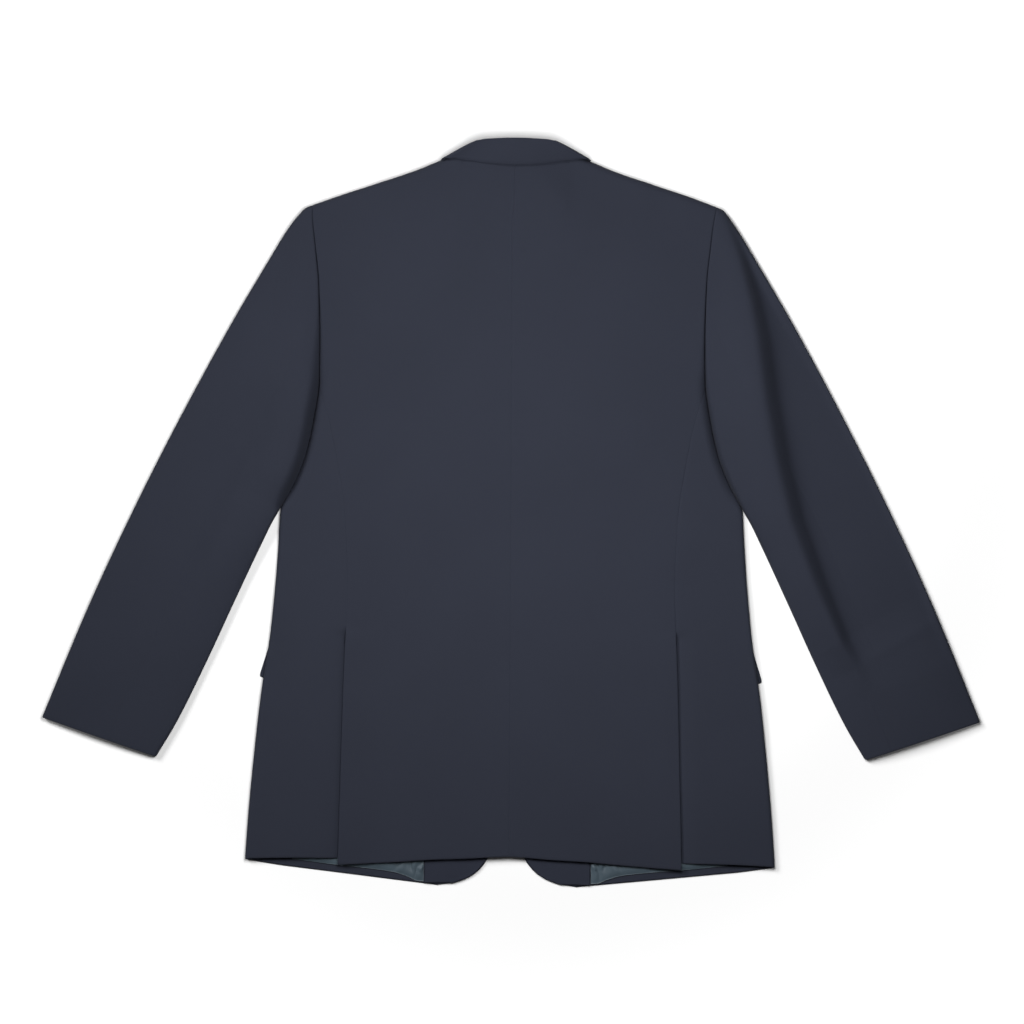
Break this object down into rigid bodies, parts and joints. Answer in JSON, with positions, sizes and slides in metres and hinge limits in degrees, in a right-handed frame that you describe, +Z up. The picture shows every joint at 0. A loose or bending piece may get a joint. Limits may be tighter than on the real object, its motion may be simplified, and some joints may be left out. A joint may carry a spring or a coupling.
{
  "type": "suit jacket",
  "caption": "Suit jacket in dark navy wool, laid flat on its front, with notched lapels, side vents, pocket flaps and buttoned fronts.",
  "frame": {"origin": "middle of the jacket's outline on the surface that it lies on", "axes": "+X to the wearer's right sleeve, +Y to the collar, +Z up, out of the back of the jacket"},
  "size_m": [1.0506, 0.8368, 0.036],
  "materials": {
    "wool": "matte",
    "lining": "satin",
    "buttons": "satin"
  },
  "bodies": {
    "root": {"back_left": "wool", "back_right": "wool", "side_left": "wool", "side_right": "wool", "front_left": "wool", "front_right": "wool", "lapel_left": "wool", "lapel_right": "wool", "facing_left": "wool", "facing_right": "wool", "lining_left": "lining", "lining_right": "lining", "flap_left": "wool", "flap_right": "wool", "sleeve_top_left": "wool", "sleeve_top_right": "wool", "sleeve_under_left": "wool", "sleeve_under_right": "wool", "collar": "wool", "collar_stand": "wool", "button_upper": "buttons", "button_lower": "buttons"}
  },
  "joints": []
}
